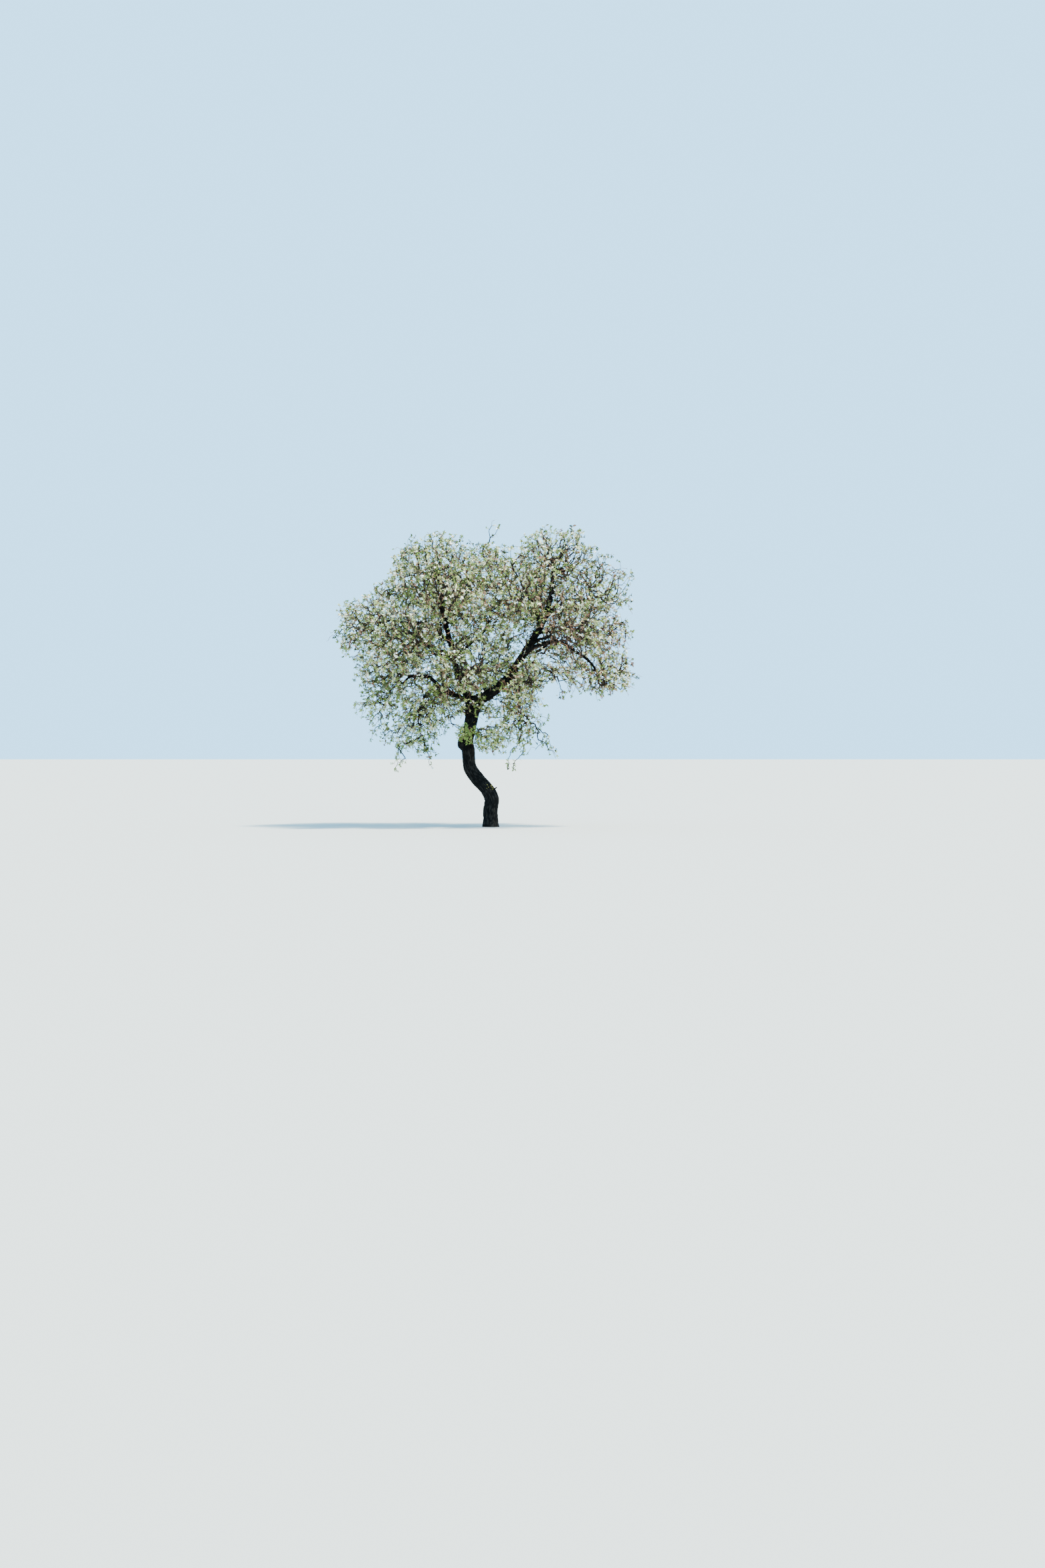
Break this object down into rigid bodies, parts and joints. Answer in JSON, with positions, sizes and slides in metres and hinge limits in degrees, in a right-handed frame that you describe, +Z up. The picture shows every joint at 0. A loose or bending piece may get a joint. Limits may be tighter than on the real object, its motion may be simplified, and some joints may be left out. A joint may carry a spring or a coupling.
{
  "type": "cherry tree in blossom",
  "caption": "Old field cherry tree in young leaf with scattered white blossom: a bent, leaning trunk that forks into two leaders under a wide, open, rounded crown.",
  "frame": {"origin": "middle of the flat cut under the trunk, at ground level", "axes": "+Z up; seen as in the picture, +X to the right and +Y away from the viewer"},
  "size_m": [6.2138, 4.4304, 6.1631],
  "materials": {
    "bark": "rough dark grey-brown bark",
    "twigs": "matt reddish-brown young bark",
    "leaves": "soft matt young leaf",
    "blossom": "matt white petals"
  },
  "bodies": {
    "root": {"bough_back_left": "bark", "bough_back_low": "bark", "bough_back_low_left": "bark", "bough_back_low_right": "bark", "bough_back_right": "bark", "bough_back_upper_left": "bark", "bough_back_upper_right": "bark", "bough_far_left": "bark", "bough_front_left": "bark", "bough_front_low": "bark", "bough_front_low_right": "bark", "bough_front_right": "bark", "bough_front_upper_left": "bark", "bough_front_upper_right": "bark", "bough_left_leader": "bark", "bough_left_low": "bark", "bough_low_left": "bark", "bough_low_right": "bark", "bough_lower_left": "bark", "bough_middle": "bark", "bough_right_arch": "bark", "bough_right_inner": "bark", "bough_right_leader": "bark", "bough_right_middle": "bark", "bough_top_middle": "bark", "bough_upper_left": "bark", "bough_upper_right": "bark", "foliage_back_left": "leaves", "foliage_back_low": "leaves", "foliage_back_low_left": "leaves", "foliage_back_low_right": "leaves", "foliage_back_right": "leaves", "foliage_back_upper_left": "leaves", "foliage_back_upper_right": "leaves", "foliage_far_left": "leaves", "foliage_far_right": "leaves", "foliage_front_left": "leaves", "foliage_front_low": "leaves", "foliage_front_low_right": "leaves", "foliage_front_right": "leaves", "foliage_front_upper_left": "leaves", "foliage_front_upper_right": "leaves", "foliage_left_middle": "leaves", "foliage_low_left": "leaves", "foliage_low_right": "leaves", "foliage_lower_left": "leaves", "foliage_middle": "leaves", "foliage_right_inner": "leaves", "foliage_right_middle": "leaves", "foliage_top_left": "leaves", "foliage_top_middle": "leaves", "foliage_top_right": "leaves", "foliage_trunk_branch": "leaves", "foliage_trunk_sprout": "leaves", "foliage_upper_left": "leaves", "foliage_upper_right": "leaves", "trunk": "bark"}
  },
  "joints": []
}
